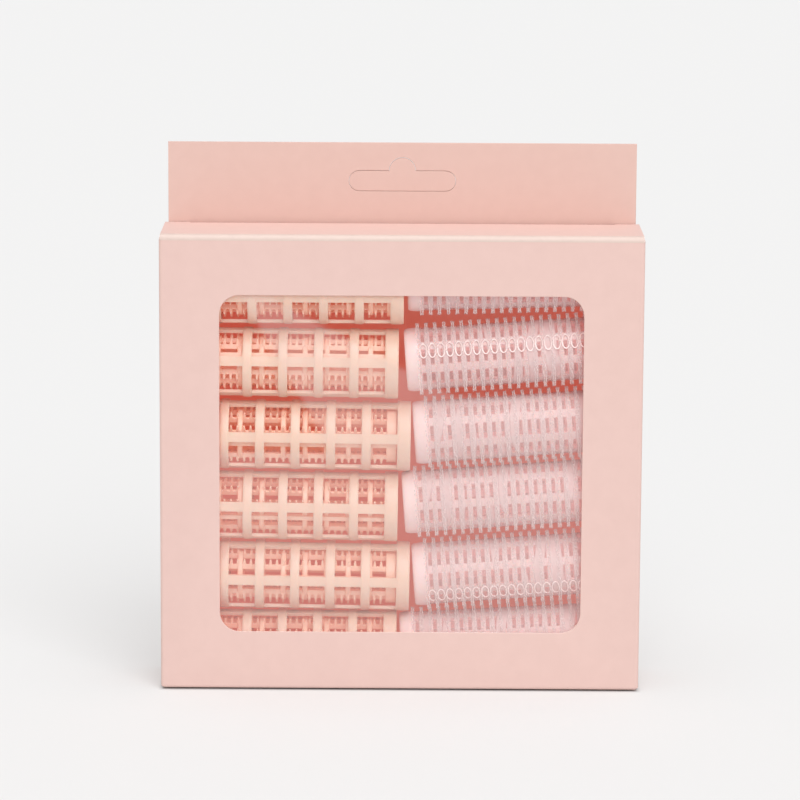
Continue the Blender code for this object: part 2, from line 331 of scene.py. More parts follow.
def radius_factor(tree, inner, outer):
    """1 within the inner radius of a roller's own axis, 0 beyond the outer one."""
    axes = object_axes(tree)
    flat = tree.nodes.new("ShaderNodeCombineXYZ")
    tree.links.new(axes["Y"], flat.inputs["Y"])
    tree.links.new(axes["Z"], flat.inputs["Z"])
    length = tree.nodes.new("ShaderNodeVectorMath")
    length.operation = "LENGTH"
    tree.links.new(flat.outputs["Vector"], length.inputs[0])
    return map_range(tree, length.outputs["Value"], (inner, outer), (1.0, 0.0))


def plastic_material(name, dark, light, roughness, scatter, painted_bounce):
    """Moulded plastic with a satin skin and light scattering under it.

    The emission colour given last is painted light: it stands in for the warm light that reaches the inner
    parts of a roller through its walls, full near the axis and none on the bars' outer faces.
    """
    material, tree, shader = shader_nodes(name)
    # Painted light: emission by distance from the roller's axis, strongest on the inner parts.
    tree.links.new(radius_factor(tree, *PAINTED_BOUNCE_RADII), shader.inputs["Emission Strength"])
    vary_colour(tree, shader, noise(tree, 120.0), dark, light)
    set_inputs(shader, {
        "Emission Color": (*painted_bounce, 1.0),
        "Roughness": roughness,
        "Specular IOR Level": 0.45,
        "Subsurface Weight": scatter,
        "Subsurface Radius": (1.0, 0.45, 0.3),
        "Subsurface Scale": 1.2 * MM,
    })
    add_bump(tree, shader, noise(tree, 900.0), 0.06, 0.1 * MM)
    return material


def tape_material():
    """The thin translucent backing of the hook tape, denser on every second web of the core."""
    material, tree, shader = shader_nodes("tape_backing")
    grain = noise(tree, 2600.0, stretch=(1, 0.2, 0.2))
    vary_colour(tree, shader, grain, (0.90, 0.71, 0.70), (0.96, 0.79, 0.78))
    set_inputs(shader, {"Roughness": 0.45})
    wave = tree.nodes.new("ShaderNodeMath")
    wave.operation = "PINGPONG"
    wave.inputs[1].default_value = GRIP_SLOT_PITCH
    tree.links.new(object_axes(tree)["X"], wave.inputs[0])
    half = GRIP_SLOT_WIDTH / 2
    band = map_range(tree, wave.outputs["Value"], (half + TAPE_BAND_SOFT, half), kind="SMOOTHSTEP")
    cloud = noise(tree, 330.0, detail=0.0, stretch=(1, 0.15, 0.15))
    patches = map_range(tree, cloud, TAPE_PATCHES)
    dense = combined(tree, "MAXIMUM", band, patches)
    tree.links.new(map_range(tree, dense, end=TAPE_ALPHAS), shader.inputs["Alpha"])
    return material


def hook_material(name, alpha, lift):
    """Fine nylon strands, pale and slightly see-through, a little uneven in colour along the tape. Their
    faint pink-white emission is painted light that brightens strands their neighbours shade.
    """
    material, tree, shader = shader_nodes(name)
    vary_colour(tree, shader, noise(tree, 700.0), (0.93, 0.79, 0.77), (0.98, 0.88, 0.86))
    set_inputs(shader, {
        "Roughness": 0.35,
        "Alpha": alpha,
        "Emission Color": (1.0, 0.80, 0.78, 1.0),
        "Emission Strength": lift,
    })
    return material


def side_of(tree, start, end):
    """0 to 1 across a line on the film, from its left to its right as start goes to end."""
    start, end = Vector(start) * MM, Vector(end) * MM
    along = (end - start).normalized()
    across = Vector((along.y, 0.0, -along.x))
    place = tree.nodes.new("ShaderNodeTexCoord")
    dot = tree.nodes.new("ShaderNodeVectorMath")
    dot.operation = "DOT_PRODUCT"
    dot.inputs[1].default_value = across
    tree.links.new(place.outputs["Object"], dot.inputs[0])
    offset = across.x * start.x + across.z * start.y
    return map_range(tree, dot.outputs["Value"], (offset - PAINTED_REFLECTION_SOFT, offset + PAINTED_REFLECTION_SOFT), kind="SMOOTHSTEP")


def film_material():
    """Clear film with a painted reflection: a pale, soft-edged, more opaque patch over most of it."""
    material, tree, shader = shader_nodes("clear_film")
    set_inputs(shader, {"Base Color": (0.97, 0.86, 0.84, 1.0), "Roughness": 0.12})
    right_of_left_edge = combined(tree, "MAXIMUM", *(side_of(tree, end, start) for start, end in PAINTED_REFLECTION_LEFT))
    below_right_edge = combined(tree, "MAXIMUM", *(side_of(tree, start, end) for start, end in PAINTED_REFLECTION_RIGHT))
    # Painted reflection: the film is paler and more opaque inside these edges.
    painted_reflection = combined(tree, "MINIMUM", right_of_left_edge, below_right_edge)
    tree.links.new(map_range(tree, painted_reflection, end=FILM_ALPHAS), shader.inputs["Alpha"])
    return material


CARD_SKIN = card_material("card", (0.772, 0.540, 0.489), (0.790, 0.556, 0.504))
# Painted shade: the hang tab's card is a darker, more saturated copy of the carton's card, standing in for
# the dimmer, warmer light it gets.
CARD_TAB_SHADE = card_material("card_tab_painted_shade", (0.748, 0.510, 0.450), (0.764, 0.525, 0.464))
CARD_EDGE = card_edge_material()
CARD_FOLD_HIGHLIGHT = fold_highlight_material()
CARD_INSIDE = card_inside_material()
PEACH = plastic_material("peach_plastic", (0.83, 0.58, 0.46), (0.85, 0.605, 0.485), 0.34, 0.2, PAINTED_PEACH_BOUNCE)
PINK = plastic_material("pink_plastic", (0.85, 0.655, 0.635), (0.88, 0.695, 0.675), 0.38, 0.3, PAINTED_PINK_BOUNCE)
TAPE = tape_material()
# Painted light: both strand materials carry a faint emission.
HOOKS = hook_material("hook_strands", 0.38, 0.16)
SEAM = hook_material("seam_strands", 0.75, 0.12)
FILM = film_material()


# ---------------------------------------------------------------- mesh tools

def link(obj):
    """The object, linked into the scene."""
    bpy.context.scene.collection.objects.link(obj)
    return obj


def new_object(name, mesh, materials):
    """A linked object over a mesh that has all of the materials."""
    for material in materials:
        if material.name not in mesh.materials:
            mesh.materials.append(material)
    return link(bpy.data.objects.new(name, mesh))


def mesh_from(name, verts, faces):
    """A mesh from points and faces."""
    mesh = bpy.data.meshes.new(name)
    mesh.from_pydata([tuple(v) for v in verts], [], [tuple(f) for f in faces])
    mesh.update()
    return mesh


def baked(obj, name, materials):
    """The object's evaluated mesh as a new object, the old one removed."""
    graph = bpy.context.evaluated_depsgraph_get()
    mesh = bpy.data.meshes.new_from_object(obj.evaluated_get(graph))
    matrix = obj.matrix_world.copy()
    bpy.data.objects.remove(obj, do_unlink=True)
    mesh.name = name
    result = new_object(name, mesh, materials)
    result.matrix_world = matrix
    return result


def smooth(obj, degrees=35):
    """Smooth shading up to an angle between faces."""
    obj.data.shade_smooth()
    obj.data.set_sharp_from_angle(angle=math.radians(degrees))
    return obj


def add_wall(obj, thickness, offset=-1.0):
    """A wall on a surface, on its inner side unless offset is 1."""
    wall = obj.modifiers.new("wall", "SOLIDIFY")
    wall.thickness = thickness
    wall.offset = offset
    return wall


def round_edges(obj, width, segments=2, degrees=40):
    """Round the edges that are sharper than an angle."""
    bevel = obj.modifiers.new("rounded", "BEVEL")
    bevel.width = width
    bevel.segments = segments
    bevel.limit_method = "ANGLE"
    bevel.angle_limit = math.radians(degrees)
    bevel.harden_normals = True


def around_axis(xs, radii, turns):
    """Points at radii and turns in radians about X, from -Y towards +Z."""
    return np.stack([xs, -radii * np.cos(turns), radii * np.sin(turns)], axis=1)


def lattice(name, stations, radii, segments, is_open, wall):
    """A tube along X as a wall with openings.

    stations and radii give the outer profile; is_open(x, degrees) says where there is
    no wall, with the angle taken from -Y towards +Z.
    """
    step = 2 * math.pi / segments
    angles = (np.arange(segments) - 0.5) * step
    xs = np.repeat(stations, segments)
    verts = around_axis(xs, np.repeat(radii, segments), np.tile(angles, len(stations)))
    faces = []
    for i in range(len(stations) - 1):
        middle = (stations[i] + stations[i + 1]) / 2
        for j in range(segments):
            if is_open(middle, math.degrees(j * step)):
                continue
            k = (j + 1) % segments
            faces.append((i * segments + j, (i + 1) * segments + j,
                          (i + 1) * segments + k, i * segments + k))
    mesh = mesh_from(name, verts, faces)
    bm = bmesh.new()
    bm.from_mesh(mesh)
    loose = [vert for vert in bm.verts if not vert.link_faces]
    bmesh.ops.delete(bm, geom=loose, context="VERTS")
    bm.to_mesh(mesh)
    bm.free()
    mesh.shade_smooth()
    tube = new_object(name, mesh, [])
    add_wall(tube, wall)
    return tube


def within(x, spans):
    """Whether x lies inside one of the (start, stop) spans."""
    return any(start < x < stop for start, stop in spans)


def from_bar(degrees, bars):
    """Angle to the nearest of a number of evenly spread bars, the first one at 0."""
    sector = 360 / bars
    return abs((degrees + sector / 2) % sector - sector / 2)


def turned(profile, segments):
    """Vertices and faces of a closed (x, radius) profile turned about X."""
    profile = np.array(profile)
    count = len(profile)
    angles = np.arange(segments) * 2 * math.pi / segments
    xs = np.tile(profile[:, 0], segments)
    verts = around_axis(xs, np.tile(profile[:, 1], segments), np.repeat(angles, count))
    faces = []
    for j in range(segments):
        k = (j + 1) % segments
        for i in range(count):
            m = (i + 1) % count
            faces.append((j * count + i, j * count + m, k * count + m, k * count + i))
    return verts, faces


def rounded_section(centre, width, inner, outer, radius, steps=3):
    """A rounded rectangle as an (x, radius) profile, for a ring."""
    right, left = centre + width / 2 - radius, centre - width / 2 + radius
    low, high = inner + radius, outer - radius
    points = []
    for x, r, start in ((right, low, -90), (right, high, 0), (left, high, 90), (left, low, 180)):
        points += arc(x, r, radius, start, start + 90, steps)
    return points[::-1]


def joined(name, pieces, materials):
    """One mesh object from a list of (verts, faces) pieces."""
    verts, faces, start = [], [], 0
    for piece_verts, piece_faces in pieces:
        verts.append(np.asarray(piece_verts))
        faces.extend(tuple(i + start for i in face) for face in piece_faces)
        start += len(piece_verts)
    mesh = mesh_from(name, np.concatenate(verts), faces)
    return new_object(name, mesh, materials)


def arc(centre_x, centre_y, radius, start, end, steps=8):
    """Points on an arc between two angles in degrees, both ends among them."""
    points = []
    for step in range(steps + 1):
        angle = math.radians(start + (end - start) * step / steps)
        points.append((centre_x + radius * math.cos(angle), centre_y + radius * math.sin(angle)))
    return points


def rounded_rectangle(low_x, low_y, high_x, high_y, radius, steps=8):
    """The outline of a rectangle with round corners."""
    points = arc(high_x - radius, low_y + radius, radius, -90, 0, steps)
    points += arc(high_x - radius, high_y - radius, radius, 0, 90, steps)
    points += arc(low_x + radius, high_y - radius, radius, 90, 180, steps)
    points += arc(low_x + radius, low_y + radius, radius, 180, 270, steps)
    return points


def sheet(name, outlines, thickness, edge, materials):
    """A flat sheet in its own XY plane with slightly rounded edges, as a mesh."""
    curve = bpy.data.curves.new(name, "CURVE")
    curve.dimensions = "2D"
    curve.fill_mode = "BOTH"
    curve.extrude = thickness / 2 - edge
    curve.bevel_depth = edge
    curve.bevel_resolution = 1
    curve.offset = -edge
    for outline in outlines:
        spline = curve.splines.new("POLY")
        spline.points.add(len(outline) - 1)
        for point, (x, y) in zip(spline.points, outline):
            point.co = (x, y, 0.0, 1.0)
        spline.use_cyclic_u = True
    obj = link(bpy.data.objects.new(name, curve))
    bpy.context.view_layer.update()
    return baked(obj, name, materials)


def prism(name, outline, low, high, to_world):
    """A closed prism over an outline, between two levels of its own axis."""
    bm = bmesh.new()
    ring = [bm.verts.new((x, y, low)) for x, y in outline]
    face = bm.faces.new(ring)
    top = bmesh.ops.extrude_face_region(bm, geom=[face])
    moved = [v for v in top["geom"] if isinstance(v, bmesh.types.BMVert)]
    bmesh.ops.translate(bm, verts=moved, vec=(0, 0, high - low))
    bmesh.ops.recalc_face_normals(bm, faces=bm.faces[:])
    bm.transform(to_world)
    mesh = bpy.data.meshes.new(name)
    bm.to_mesh(mesh)
    bm.free()
    return mesh


UPRIGHT = Matrix.Rotation(math.pi / 2, 4, "X")


def stands_for(piece, node, body):
    """Let a piece take a CAD node's place, and ride on its body."""
    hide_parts(node)
    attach(piece, body)


# ---------------------------------------------------------------- carton

def foot_levels():
    """(inset, z) of the sleeve's rounded foot, from the ground up, and then its top."""
    levels = []
    for turn in (90, 70, 50, 30, 15, 0):
        angle = math.radians(turn)
        levels.append((FOOT_ROUND * (1 - math.cos(angle)), FOOT_ROUND * (1 - math.sin(angle))))
    return levels + [(0.0, SLEEVE_TOP)]


def sleeve_surface():
    """The sleeve's outer surface as a mesh: rounded upright folds over a rounded foot."""
    levels = foot_levels()
    verts = []
    for inset, z in levels:
        outline = rounded_rectangle(-WIDTH / 2 + inset, FRONT + inset, WIDTH / 2 - inset, BACK - inset,
                                    CORNER, steps=5)
        verts += [(x, y, z) for x, y in outline]
    count = len(outline)
    faces = []
    for row in range(0, (len(levels) - 1) * count, count):
        for i in range(count):
            k = (i + 1) % count
            faces.append((i + row, k + row, k + count + row, i + count + row))
    return mesh_from("sleeve_shell", verts, faces)


def window_hole():
    """A cutter for the window, whose corners come from the film's box."""
    outline = rounded_rectangle(FILM_LOW.x + FILM_MARGIN, FILM_LOW.z + FILM_MARGIN,
                                FILM_HIGH.x - FILM_MARGIN, FILM_HIGH.z - FILM_MARGIN, WINDOW_RADIUS)
    hole = prism("window_hole", outline, -FRONT - 3 * CARD, -FRONT + 3 * CARD, UPRIGHT)
    return new_object("window_hole", hole, [CARD_EDGE])


def carton_sleeve():
    """The folded tube, pink outside and warm inside, and its window with a pale cut edge."""
    materials = [CARD_SKIN, CARD_EDGE, CARD_INSIDE]
    shell = new_object("sleeve_shell", sleeve_surface(), materials)
    wall = add_wall(shell, CARD)
    wall.material_offset = materials.index(CARD_INSIDE)
    wall.material_offset_rim = materials.index(CARD_EDGE)
    cutter = window_hole()
    boolean = shell.modifiers.new("window", "BOOLEAN")
    boolean.operation = "DIFFERENCE"
    boolean.object = cutter
    boolean.material_mode = "TRANSFER"
    sleeve = baked(shell, "carton_sleeve_card", materials)
    bpy.data.objects.remove(cutter, do_unlink=True)
    round_edges(sleeve, DOUBLE_ROUND, degrees=60)
    stands_for(smooth(sleeve), "carton_sleeve", "carton")


def bent_strip(name, verts, skin, offset=-1.0, flip=False):
    """Card bent along a path, from pairs of points across it, pale on its cut edges."""
    faces = [(2 * i, 2 * i + 1, 2 * i + 3, 2 * i + 2) for i in range(len(verts) // 2 - 1)]
    if flip:
        faces = [face[::-1] for face in faces]
    materials = [skin, CARD_EDGE]
    strip = new_object(name, mesh_from(name, verts, faces), materials)
    wall = add_wall(strip, CARD, offset)
    wall.material_offset_rim = materials.index(CARD_EDGE)
    strip = smooth(baked(strip, name, materials), 50)
    return strip


def lid_front_fold():
    """The lid's fold over the front's top edge. Returns where the flat lid starts."""
    path = [(FRONT - PROUD, SLEEVE_TOP - LID_FOLD_LAP), (FRONT - PROUD, SLEEVE_TOP)]
    path += arc(FRONT + LID_FOLD, SLEEVE_TOP, LID_FOLD, 180, 90, 10)[1:]
    path.append((FRONT + LID_FOLD + LID_FOLD_REACH, HEIGHT))
    half = LID_HIGH.x
    fold = bent_strip("lid_front_fold", [(x, y, z) for y, z in path for x in (-half, half)], CARD_FOLD_HIGHLIGHT)
    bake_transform(fold)
    return path[-1][0]


def lid_panel(start, crease):
    """The flat lid, whose two rear shoulders leave a notch for the tuck flap's fold."""
    half, rear = LID_HIGH.x, LID_HIGH.y
    inner = TUCK_HIGH.x + LID_NOTCH
    fold = crease - SMALL_FOLD
    outline = [(-half, start), (half, start), (half, rear), (inner, rear), (inner, fold),
               (-inner, fold), (-inner, rear), (-half, rear)]
    panel = sheet("lid_card", [outline], CARD, CARD_ROUND, [CARD_SKIN, CARD_EDGE])
    panel.location = (0, 0, HEIGHT - CARD / 2)
    stands_for(panel, "lid_panel", "lid")


def tuck_flap(crease):
    """The lid's tuck flap with two round corners, and its fold."""
    half, high = TUCK_HIGH.x, TUCK_HIGH.z - TUCK_LAP
    fold = crease - SMALL_FOLD
    path = [(fold - TUCK_FOLD_LAP, HEIGHT), (fold, HEIGHT)]
    path += arc(fold, HEIGHT - SMALL_FOLD, SMALL_FOLD, 90, 0, 6)[1:]
    path.append((crease, high))
    strip = bent_strip("tuck_fold", [(x, y, z) for y, z in path for x in (-half, half)], CARD_SKIN)
    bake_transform(strip)

    outline = [(half, high), (-half, high)]
    outline += arc(-half + TUCK_RADIUS, TUCK_LOW.z + TUCK_RADIUS, TUCK_RADIUS, 180, 270)
    outline += arc(half - TUCK_RADIUS, TUCK_LOW.z + TUCK_RADIUS, TUCK_RADIUS, 270, 360)
    flap = sheet("tuck_card", [outline], CARD, CARD_ROUND, [CARD_SKIN, CARD_EDGE])
    flap.rotation_euler = (math.pi / 2, 0, 0)
    flap.location = (0, crease - CARD / 2, 0)
    stands_for(flap, "lid_tuck_flap", "tuck")


def carton_lid():
    """The lid, the fold it hangs from, and its tuck flap."""
    crease = TUCK_HIGH.y
    start = lid_front_fold()
    lid_panel(start, crease)
    tuck_flap(crease)


def dust_flap(side, node, body):
    """A side's flap under the lid and the fold that joins it to the side."""
    low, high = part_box(node)
    level = high.z
    edge = side * WIDTH / 2
    fold = edge - side * SMALL_FOLD
    tip = edge - side * (high.x - low.x)
    outline = [(fold, low.y), (tip, low.y + DUST_TAPER), (tip, high.y), (fold, high.y)]
    flap = sheet(node + "_card", [outline], CARD, CARD_ROUND, [CARD_SKIN, CARD_EDGE])
    flap.location = (0, 0, level - CARD / 2)
    stands_for(flap, node, body)

    points = [(fold + side * x, z) for x, z in arc(0, level - SMALL_FOLD, SMALL_FOLD, 90, 0, 6)]
    points.append((edge, SLEEVE_TOP))
    verts = [(x, y, z) for x, z in points for y in (low.y, high.y)]
    strip = bent_strip(node + "_fold", verts, CARD_SKIN, offset=1.0, flip=side < 0)
    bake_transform(strip)


def slot_outline(inset):
    """A rounded hanging slot with a round bump over its middle."""
    radius = (SLOT_HIGH - SLOT_LOW) / 2 - inset
    middle = (SLOT_HIGH + SLOT_LOW) / 2
    end = SLOT_WIDTH / 2 - (SLOT_HIGH - SLOT_LOW) / 2
    right = arc(end, middle, radius, -90, 90)
    bump = arc(0.0, SLOT_HIGH - inset, SLOT_BUMP - inset, 0, 180, 12)
    left = arc(-end, middle, radius, 90, 270)
    return right + bump + left


def hang_tab():
    """The tab as one sheet as thick as two layers of card, and the waste piece still in its slot."""
    half, high = TAB_HIGH.x, TAB_HIGH.z
    outline = [(-half, SLEEVE_TOP), (half, SLEEVE_TOP), (half, high), (-half, high)]
    thick = TAB_HIGH.y - TAB_LOW.y
    for name, outlines, node in (
            ("hang_tab_card", [outline, slot_outline(0.0)], "hang_tab"),
            ("slot_knockout_card", [slot_outline(SLOT_CUT)], "slot_knockout")):
        piece = sheet(name, outlines, thick, DOUBLE_ROUND, [CARD_TAB_SHADE])
        piece.rotation_euler = (math.pi / 2, 0, 0)
        piece.location = (0, (TAB_LOW.y + TAB_HIGH.y) / 2, 0)
        stands_for(smooth(piece, 50), node, "carton")


def base_panel():
    """The base keeps its CAD shape and takes the card's material."""
    base = frame["nodes"]["carton_base"]
    base.data.materials.clear()
    base.data.materials.append(CARD_SKIN)


def window_film():
    """Clear film behind the window, very slightly buckled in crossing waves."""
    middle = (FILM_LOW.y + FILM_HIGH.y) / 2
    verts = []
    for z in np.linspace(FILM_LOW.z, FILM_HIGH.z, FILM_GRID):
        for x in np.linspace(FILM_LOW.x, FILM_HIGH.x, FILM_GRID):
            wave = math.sin(38 * x + 55 * z) * math.sin(61 * z - 20 * x + 1.0)
            verts.append((x, middle + FILM_BUCKLE * wave, z))
    faces = []
    for i in range(FILM_GRID - 1):
        for j in range(FILM_GRID - 1):
            a = i * FILM_GRID + j
            faces.append((a, a + 1, a + FILM_GRID + 1, a + FILM_GRID))
    film = new_object("film_sheet", mesh_from("film_sheet", verts, faces), [FILM])
    stands_for(smooth(film), "window_film", "carton")


# ---------------------------------------------------------------- rollers

def on_axis(joint, turn, x=None):
    """Placement on a joint's axis, turned about it, at the joint or at a given x."""
    place = Vector(joint["pos_m"])
    axis = Vector(joint["axis"]).normalized()
    if x is not None:
        place += axis * ((x - place.x) / axis.x)
    tilt = Matrix.Rotation(-math.atan2(axis.z, axis.x), 4, "Y")
    return Matrix.Translation(place) @ tilt @ Matrix.Rotation(-math.radians(turn), 4, "X")


def copy_at(name, mesh, place):
    """A linked object over a shared mesh at a placement."""
    piece = bpy.data.objects.new(name, mesh)
    piece.matrix_world = place
    return link(piece)


def cage_profile(length):
    """Stations and radii along the cage, and the (start, stop) spans of its openings."""
    opening = (length - 2 * CAGE_END - (CAGE_OPENINGS - 1) * CAGE_RING) / CAGE_OPENINGS
    rise = CAGE_RING_RADIUS - CAGE_BAR_RADIUS
    stations, radii, openings = [], [], []

    def band(start, width, shares):
        for spot, share in zip(CAGE_SPOTS, shares):
            stations.append(start + spot * width)
            radii.append(CAGE_BAR_RADIUS + share * rise)

    place = -length / 2
    band(place, CAGE_END, CAGE_FLAT_RISE)
    place += CAGE_END
    for index in range(CAGE_OPENINGS):
        openings.append((place, place + opening))
        place += opening
        if index < CAGE_OPENINGS - 1:
            band(place, CAGE_RING, CAGE_ROUND_RISE)
        else:
            band(place, CAGE_END, CAGE_FLAT_RISE)
        place += CAGE_RING
    return stations, radii, openings


def cage_mesh():
    """The open cage: rings of round section, flat bars a little lower, wide end bands."""
    low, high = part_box("cage_1")
    stations, radii, openings = cage_profile(high.x - low.x)

    def is_open(x, degrees):
        return within(x, openings) and from_bar(degrees, CAGE_BARS) > CAGE_BAR_HALF

    cage = lattice("cage_shell", stations, radii, CAGE_SEGMENTS, is_open, CAGE_WALL)
    round_edges(cage, CAGE_ROUND, segments=3)
    return baked(cage, "cage_shell", [PEACH])


def comb_outline(length):
    """The (x, height) outline of one comb rib, its tooth tips at height zero."""
    notch = -TOOTH_LENGTH
    bottom = notch - SLAT_HEIGHT
    half = length / 2
    points = [(-half, bottom), (half, bottom), (half, notch)]
    teeth = int((length - 2 * CORE_END) / TOOTH_PITCH)
    first = (teeth - 1) / 2 * TOOTH_PITCH
    radius = TOOTH_TOP / 2
    spread, rise = TOOTH_FILLET
    for index in range(teeth):
        centre = first - index * TOOTH_PITCH
        right, left = centre + TOOTH_BASE / 2, centre - TOOTH_BASE / 2
        points += [(right + spread, notch), (right, notch + rise)]
        points += arc(centre, -radius, radius, 0, 180, 5)
        points += [(left, notch + rise), (left - spread, notch)]
    points.append((-half, notch))
    return points


def add_combs(bm, length):
    """Comb ribs in two opposite sets whose teeth all point the same way within a set."""
    comb = sheet("comb", [comb_outline(length)], SLAT_THICK, SLAT_ROUND, [PEACH])
    comb.data.transform(UPRIGHT)
    for angle in RIB_ANGLES:
        tip = Vector((0, -math.cos(math.radians(angle)), math.sin(math.radians(angle)))) * TOOTH_TIP_RADIUS
        for flip in (False, True):
            part = comb.data.copy()
            part.transform(Matrix.Translation(tip))
            if flip:
                part.transform(Matrix.Rotation(math.pi, 4, "X"))
            bm.from_mesh(part)
            bpy.data.meshes.remove(part)
    bpy.data.objects.remove(comb, do_unlink=True)


def add_plain_ribs(bm, length):
    """Two plain ribs between the sets of combs."""
    for angle in (PLAIN_RIB_ANGLE, PLAIN_RIB_ANGLE + 180):
        place = Matrix.Rotation(-math.radians(angle), 4, "X")
        place = place @ Matrix.Translation((0, -CORE_OUTER - PLAIN_RIB_RISE, 0))
        place = place @ Matrix.Diagonal((length, PLAIN_RIB_HEIGHT, PLAIN_RIB_WIDTH, 1))
        bmesh.ops.create_cube(bm, size=1.0, matrix=place)


def add_core_rings(bm, length):
    """The core's rings and its two end bands."""
    sections = []
    for index in range(CORE_RINGS):
        centre = (index - (CORE_RINGS - 1) / 2) * CORE_RING_PITCH
        sections.append(rounded_section(centre, CORE_RING_WIDTH, CORE_INNER, CORE_OUTER, CORE_RING_ROUND))
    for side in (-1, 1):
        centre = side * (length - CORE_END) / 2
        sections.append(rounded_section(centre, CORE_END, CORE_INNER, CORE_OUTER + CORE_END_RISE,
                                        CORE_END_ROUND))
    rings = joined("core_rings", [turned(section, CORE_SEGMENTS) for section in sections], [PEACH])
    bm.from_mesh(rings.data)
    bpy.data.objects.remove(rings, do_unlink=True)


def core_mesh():
    """The core: rings and end bands joined by comb ribs and two plain ribs."""
    low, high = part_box("comb_core_1")
    length = high.x - low.x
    bm = bmesh.new()
    add_combs(bm, length)
    add_plain_ribs(bm, length)
    add_core_rings(bm, length)
    mesh = bpy.data.meshes.new("comb_core")
    bm.to_mesh(mesh)
    bm.free()
    mesh.materials.append(PEACH)
    mesh.shade_smooth()
    mesh.set_sharp_from_angle(angle=math.radians(40))
    return mesh


def two_layer_rollers():
    """Six cages and six comb cores, each turned as it lies in its row."""
    shell = cage_mesh()
    core = core_mesh()
    for row in range(ROWS):
        number = row + 1
        joint = JOINTS[f"roller_{number}_spin"]
        for name, mesh, turn, node, body in (
                ("cage_shell", shell.data, CAGE_TURN[row], "cage", "roller_cage"),
                ("toothed_core", core, CORE_TURN[row], "comb_core", "roller_core")):
            low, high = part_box(f"{node}_{number}")
            piece = copy_at(f"{name}_{number}", mesh, on_axis(joint, turn, (low.x + high.x) / 2))
            stands_for(piece, f"{node}_{number}", f"{body}_{number}")
    bpy.data.objects.remove(shell, do_unlink=True)


def grip_length():
    """Length of a self-grip roller along its own tilted axis."""
    low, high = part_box("grip_core_1")
    axis = Vector(JOINTS["grip_1_spin"]["axis"]).normalized()
    across = 2 * GRIP_LIP_RADIUS * abs(axis.z)
    return (high.x - low.x - across) / abs(axis.x)


def grip_rim(half):
    """The left rim as (x, share of the rim's height) points, from the end to the slotted body."""
    seat = half - GRIP_RIM
    end = [(0.0, -0.75), (0.15, -0.1), (0.5, 0.45), (1.3, 0.85), (2.6, 1.0)]
    step = [(-0.25, 1.0), (0.0, 0.7), (0.15, 0.0)]
    return [(-half + x * MM, share) for x, share in end] + [(-seat + x * MM, share) for x, share in step]


def grip_core_mesh(length):
    """A slotted tube with a smooth rounded rim at each end."""
    rim = grip_rim(length / 2)
    slots = []
    for index in range(GRIP_SLOTS):
        centre = (index - (GRIP_SLOTS - 1) / 2) * GRIP_SLOT_PITCH
        slots.append((centre - GRIP_SLOT_WIDTH / 2, centre + GRIP_SLOT_WIDTH / 2))
    body = [(x, 0.0) for slot in slots for x in slot]
    profile = rim + body + [(-x, share) for x, share in reversed(rim)]
    stations = [x for x, _ in profile]
    radii = [GRIP_BODY_RADIUS + share * (GRIP_RIM_RADIUS - GRIP_BODY_RADIUS) for _, share in profile]

    def is_open(x, degrees):
        return within(x, slots) and from_bar(degrees, GRIP_BARS) > GRIP_BAR_HALF

    tube = lattice("grip_core", stations, radii, GRIP_SEGMENTS, is_open, GRIP_WALL)
    return smooth(baked(tube, "grip_core", [PINK]))


def tape_mesh(length):
    """The thin backing sleeve between the rims."""
    width = length - 2 * GRIP_RIM - 2 * TAPE_GAP
    section = rounded_section(0.0, width, TAPE_RADIUS - TAPE_THICK, TAPE_RADIUS, TAPE_ROUND, steps=2)
    tape = joined("tape_sleeve", [turned(section, GRIP_SEGMENTS)], [TAPE])
    return smooth(tape, 40)


def hook_line(rise, lean, curl):
    """Centre line of one hook as (x, along the turn, height) points."""
    steps = 5
    points = []
    for step in range(steps):
        share = step / (steps - 1)
        points.append((lean[0] * share, lean[1] * share, rise * math.sin(share * math.pi / 2)))
    points.append((lean[0] + curl[0], lean[1] + curl[1], rise * HOOK_END))
    return np.array(points)


def strand(points, radius):
    """A three-sided tube round a centre line, closed at both ends."""
    count = len(points)
    tangents = np.gradient(points, axis=0)
    tangents /= np.linalg.norm(tangents, axis=1)[:, None]
    side = np.cross(tangents, np.array(STRAND_ASIDE))
    side /= np.linalg.norm(side, axis=1)[:, None]
    other = np.cross(tangents, side)
    verts = []
    for corner in range(3):
        angle = 2 * math.pi * corner / 3
        verts.append(points + radius * (math.cos(angle) * side + math.sin(angle) * other))
    verts = np.stack(verts, axis=1).reshape(-1, 3)
    faces = []
    for i in range(count - 1):
        for k in range(3):
            m = (k + 1) % 3
            faces.append((3 * i + k, 3 * i + m, 3 * i + 3 + m, 3 * i + 3 + k))
    faces += [(2, 1, 0), (3 * count - 3, 3 * count - 2, 3 * count - 1)]
    return verts, faces


def seam_mesh(length):
    """The row of larger loops along the seam where the tape's edges meet."""
    turn = np.linspace(0, 2 * math.pi, 17)
    half_x, half_turn = SEAM_LOOP
    pieces = []
    for index in range(int(length / SEAM_PITCH)):
        x = (index + 0.5) * SEAM_PITCH - length / 2
        height = TAPE_RADIUS + SEAM_LIFT + SEAM_WAVE * np.cos(turn)
        centre = np.stack([x + half_x * np.cos(turn), half_turn * np.sin(turn), height], axis=1)
        verts, faces = strand(centre, SEAM_STRAND)
        pieces.append((around_axis(verts[:, 0], verts[:, 2], verts[:, 1] / TAPE_RADIUS), faces))
    return smooth(joined("seam_loops", pieces, [SEAM]), 60)


def hook_strands():
    """The four kinds of hook, which lean four ways, as strands from the tape's surface."""
    rise = HOOK_TIP_RADIUS - TAPE_RADIUS - HOOK_STRAND
    strands = []
    for side_turn in (1, -1):
        for side_x in (1, -1):
            lean = (side_x * HOOK_LEAN[0] * MM, side_turn * HOOK_LEAN[1] * MM)
            curl = (lean[0] * HOOK_CURL[0], lean[1] * HOOK_CURL[1])
            strands.append(strand(hook_line(rise, lean, curl), HOOK_STRAND))
    return strands


